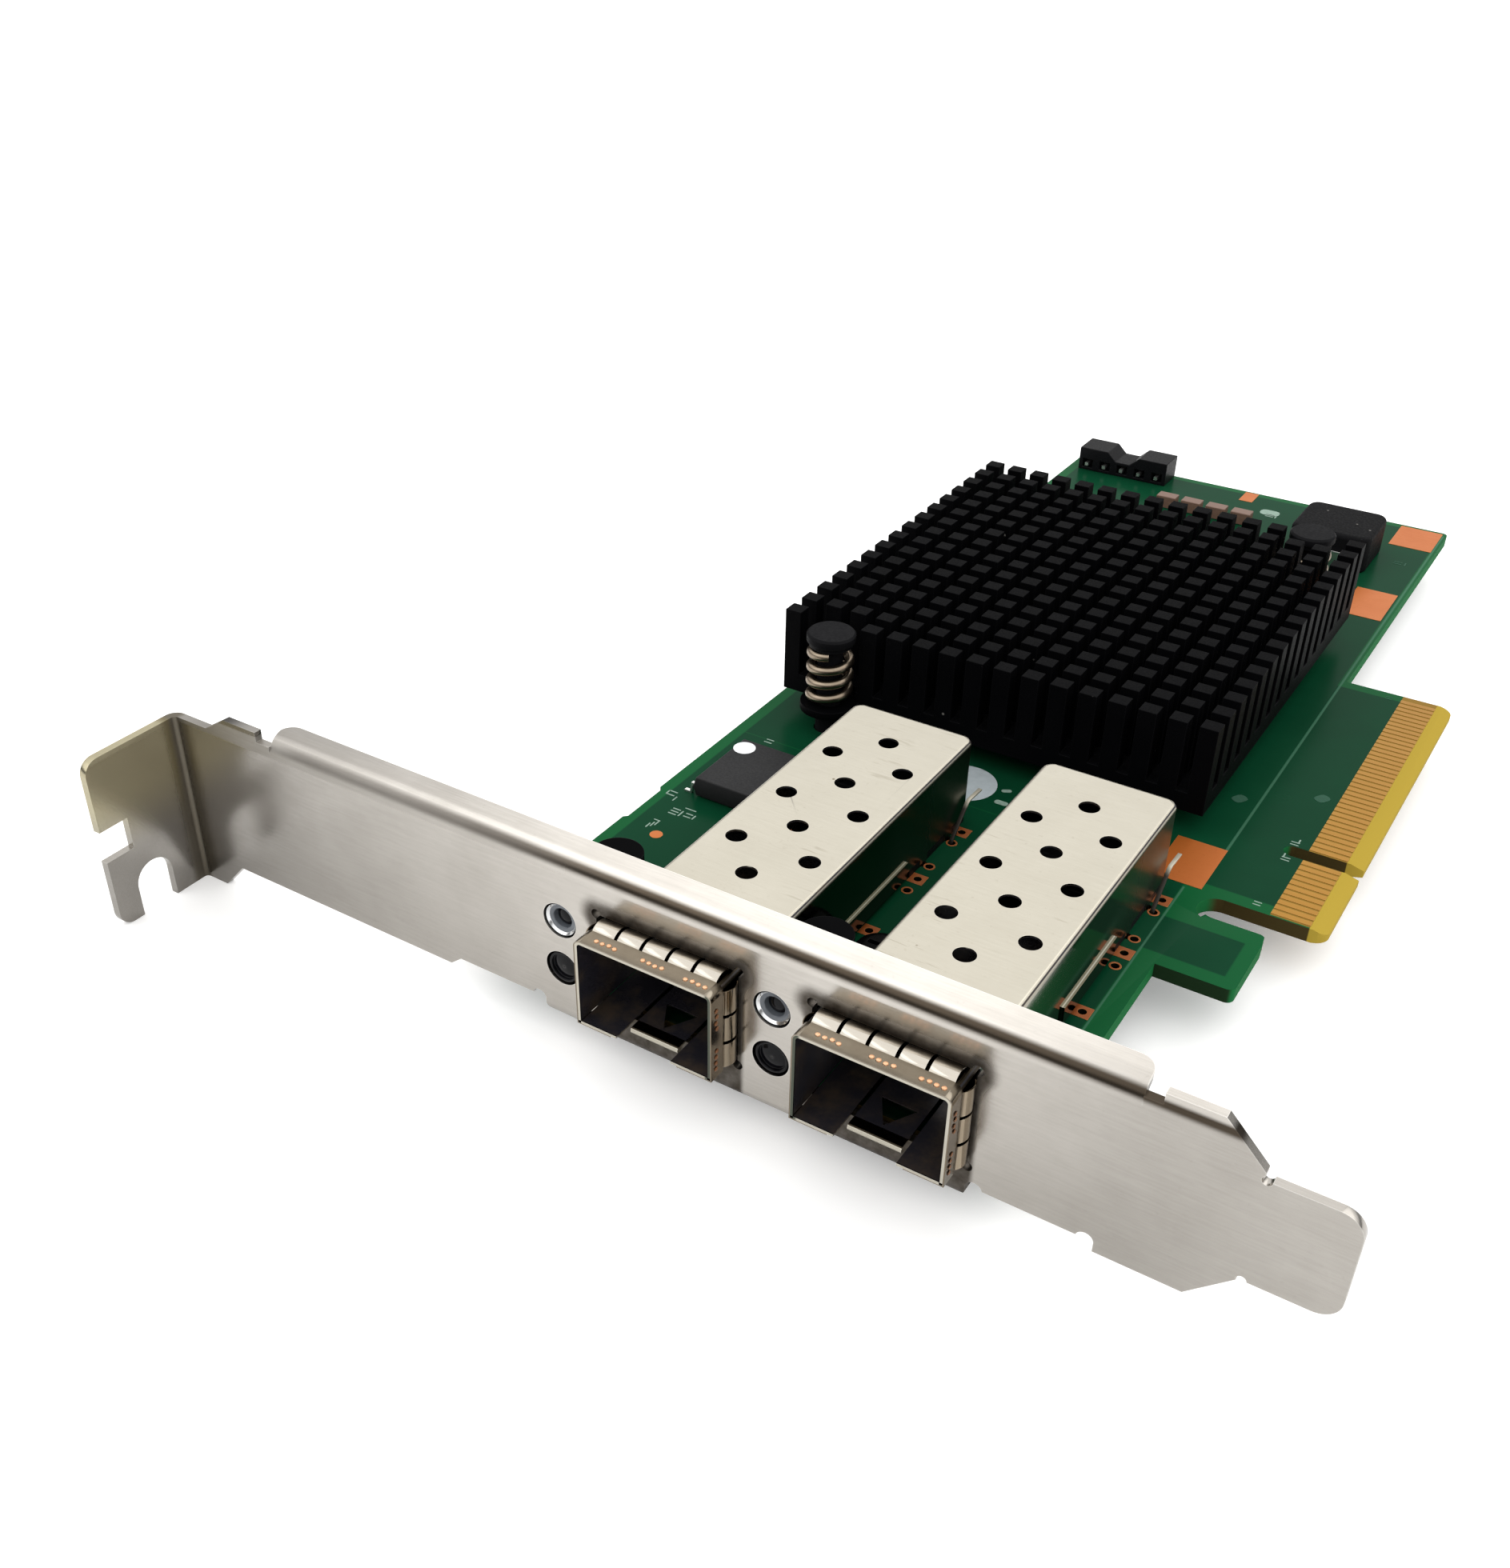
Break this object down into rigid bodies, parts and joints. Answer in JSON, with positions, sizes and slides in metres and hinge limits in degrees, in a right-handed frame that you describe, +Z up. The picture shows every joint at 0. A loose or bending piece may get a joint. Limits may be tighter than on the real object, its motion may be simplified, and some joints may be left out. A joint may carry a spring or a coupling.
{
  "type": "network interface card",
  "caption": "Low-profile network card on a full-height bracket, with cage ports for pluggable modules, lamps and a pin-fin heatsink.",
  "frame": {"origin": "middle of the footprint, at the level of the bracket tab's lower edge", "axes": "+X along the bracket from the screw tab to the tang, +Y from the bracket's outer face into the card, +Z up from the board's component side"},
  "size_m": [0.12, 0.1634, 0.0216],
  "materials": {
    "nickel_steel": "satin nickel-plated sheet",
    "black_screw": "black oxide",
    "solder_mask": "glossy green solder mask",
    "gold": "gold plate",
    "copper": "bare copper",
    "black_anodised": "black anodised",
    "chip_lid": "matt black",
    "thermal_pad": "soft grey pad",
    "moulded_black": "moulded black",
    "tin": "tin plate",
    "moulded_grey": "moulded grey",
    "black_plastic": "matt black plastic",
    "ceramic": "fired ceramic",
    "cage_steel": "satin nickel",
    "spring_steel": "bright nickel",
    "clear_lamp": "clear resin",
    "dark_lamp": "unlit dark resin",
    "grey_nylon": "dark grey nylon",
    "bronze_wire": "bronze wire"
  },
  "bodies": {
    "root": {"bracket": "nickel_steel", "bracket_screws": "black_screw", "cage_floor_left": "cage_steel", "cage_floor_right": "cage_steel", "circuit_board": "solder_mask", "connector_contacts_left": "gold", "connector_contacts_right": "gold", "controller_chip": "chip_lid", "copper_patches": "copper", "edge_contacts": "gold", "flash_chip": "moulded_black", "flash_leads": "tin", "header_pins": "gold", "heatsink": "black_anodised", "inductor_terminals": "tin", "lamp_holder_left": "black_plastic", "lamp_holder_right": "black_plastic", "lower_lamp_left": "dark_lamp", "lower_lamp_right": "dark_lamp", "pin_spring_front": "bronze_wire", "pin_spring_rear": "bronze_wire", "port_cage_left": "cage_steel", "port_cage_right": "cage_steel", "port_connector_left": "black_plastic", "port_connector_right": "black_plastic", "power_inductor": "moulded_grey", "push_pin_front": "grey_nylon", "push_pin_rear": "grey_nylon", "rear_capacitors": "ceramic", "rear_header": "black_plastic", "spring_collar_left": "spring_steel", "spring_collar_right": "spring_steel", "thermal_pad": "thermal_pad", "under_capacitors": "ceramic", "upper_lamp_left": "clear_lamp", "upper_lamp_right": "clear_lamp"}
  },
  "joints": []
}
